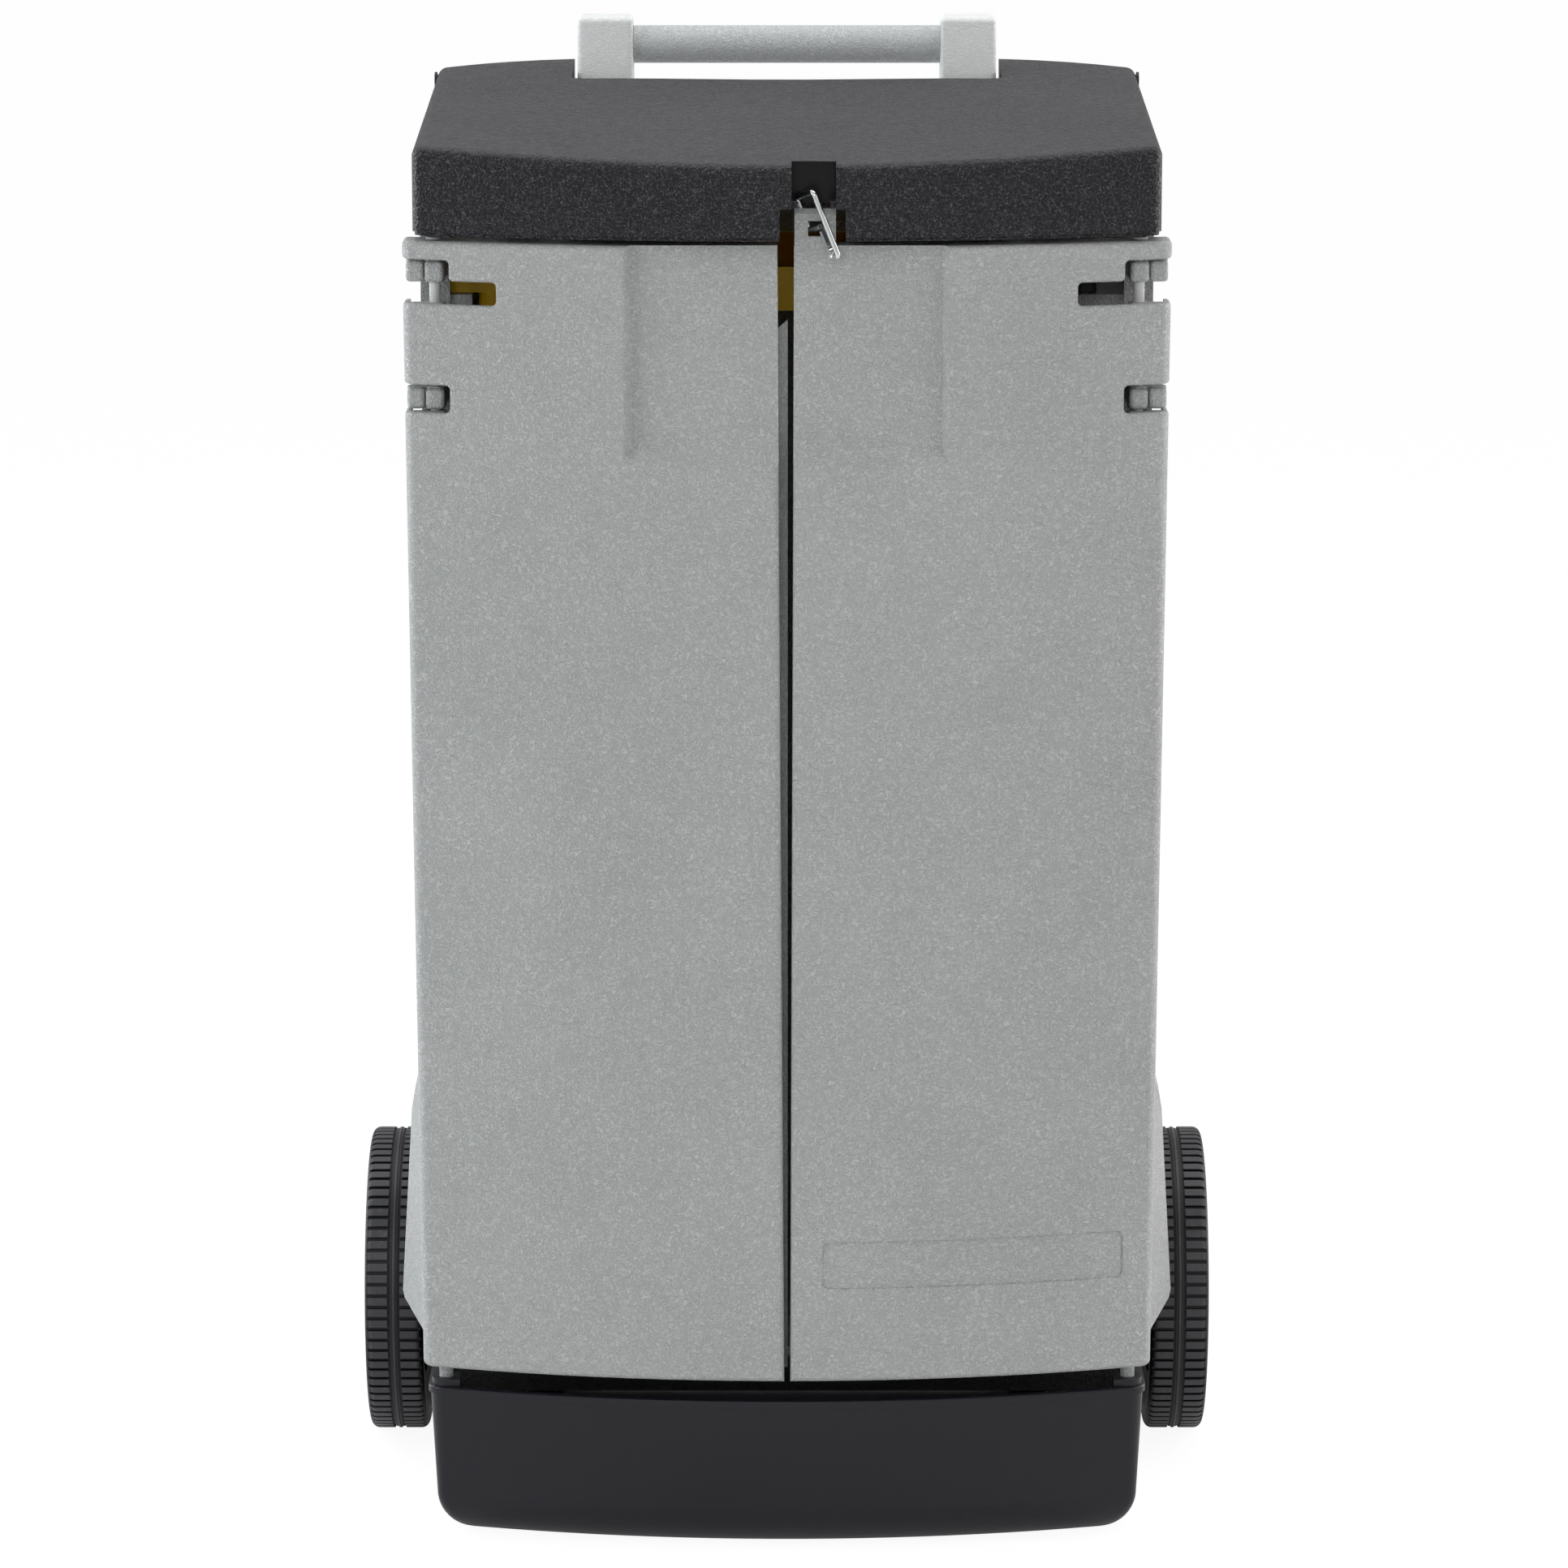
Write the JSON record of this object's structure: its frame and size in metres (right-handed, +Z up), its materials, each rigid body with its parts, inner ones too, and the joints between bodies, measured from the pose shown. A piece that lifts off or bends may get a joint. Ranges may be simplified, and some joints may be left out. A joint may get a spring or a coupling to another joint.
{
  "type": "wheeled tool cabinet",
  "caption": "Upright wheeled tool cabinet: bowed hinged doors, tip-back lid with a hasp niche, pull-out handle, lift-out tray and bin, lugged wheels on a base tub.",
  "frame": {"origin": "on the floor under the middle of the object's bounding box", "axes": "+X to the object's left-hand side when it is seen from behind, which is the viewer's right at the front; the doors face -Y; +Z up"},
  "size_m": [0.4994, 0.34, 0.832],
  "materials": {
    "grey_plastic": "light grey moulded, leather grain",
    "cabinet_plastic": "black moulded, satin",
    "tub_plastic": "black moulded, satin",
    "lid_plastic": "black moulded, pebble grain",
    "wheel_plastic": "black moulded",
    "handle_plastic": "light grey moulded, pebble grain",
    "yellow_plastic": "yellow moulded, semi gloss",
    "bin_plastic": "dark grey moulded",
    "steel": "bright zinc plated",
    "screw_steel": "black zinc plated"
  },
  "bodies": {
    "cabinet": {"cabinet_shell": "grey_plastic", "base_tub": "tub_plastic", "base_screws": "screw_steel", "axle_rod": "steel", "axle_washers": "steel", "left_hub_cap": "steel", "right_hub_cap": "steel", "left_hinge_rod": "steel", "right_hinge_rod": "steel", "upper_handle_guide": "cabinet_plastic", "lower_handle_guide": "cabinet_plastic", "guide_screws": "screw_steel"},
    "left_door": {"left_door": "grey_plastic"},
    "right_door": {"right_door": "grey_plastic"},
    "lid": {"lid": "lid_plastic", "left_lid_pin": "steel", "right_lid_pin": "steel"},
    "handle": {"left_handle_post": "handle_plastic", "right_handle_post": "handle_plastic", "grip_bar": "handle_plastic", "left_handle_tube": "steel", "right_handle_tube": "steel", "left_tube_plug": "bin_plastic", "right_tube_plug": "bin_plastic"},
    "left_wheel": {"left_wheel": "wheel_plastic", "left_wheel_bush": "bin_plastic"},
    "right_wheel": {"right_wheel": "wheel_plastic", "right_wheel_bush": "bin_plastic"},
    "tray": {"tray": "yellow_plastic"},
    "bin": {"side_bin": "bin_plastic"},
    "snap_hook": {"hook_wire": "steel", "gate_rivet": "steel"},
    "hook_gate": {"hook_gate": "steel"}
  },
  "joints": [
    {"name": "left_door_swing", "type": "hinge", "parent": "cabinet", "child": "left_door", "pos_m": [-0.191, -0.131, 0.4], "axis": [0, 0, -1], "range_deg": [0, 105]},
    {"name": "right_door_swing", "type": "hinge", "parent": "cabinet", "child": "right_door", "pos_m": [0.191, -0.131, 0.4], "axis": [0, 0, 1], "range_deg": [0, 105]},
    {"name": "lid_tilt", "type": "hinge", "parent": "cabinet", "child": "lid", "pos_m": [0, 0.136, 0.793], "axis": [-1, 0, 0], "range_deg": [0, 95]},
    {"name": "handle_slide", "type": "slide", "parent": "cabinet", "child": "handle", "axis": [0, 0, -1], "range_m": [-0.31, 0]},
    {"name": "left_wheel_spin", "type": "hinge", "parent": "cabinet", "child": "left_wheel", "pos_m": [-0.2282, 0.081, 0.089], "axis": [1, 0, 0], "continuous": true},
    {"name": "right_wheel_spin", "type": "hinge", "parent": "cabinet", "child": "right_wheel", "pos_m": [0.2282, 0.081, 0.089], "axis": [1, 0, 0], "continuous": true},
    {"name": "tray_lift", "type": "slide", "parent": "cabinet", "child": "tray", "axis": [0, 0, 1], "range_m": [0, 0.045]},
    {"name": "bin_lift", "type": "slide", "parent": "cabinet", "child": "bin", "axis": [0, 0, 1], "range_m": [0, 0.03]},
    {"name": "hook_swing", "type": "hinge", "parent": "right_door", "child": "snap_hook", "pos_m": [0.0154, -0.158, 0.741], "axis": [-0.5312, 0.8014, -0.2749], "range_deg": [0, 12]},
    {"name": "gate_swing", "type": "hinge", "parent": "snap_hook", "child": "hook_gate", "pos_m": [0.02259, -0.16257, 0.73052], "axis": [0.7604, 0.5941, 0.2625], "range_deg": [0, 8], "stiffness_Nm_per_rad": 0.02}
  ]
}
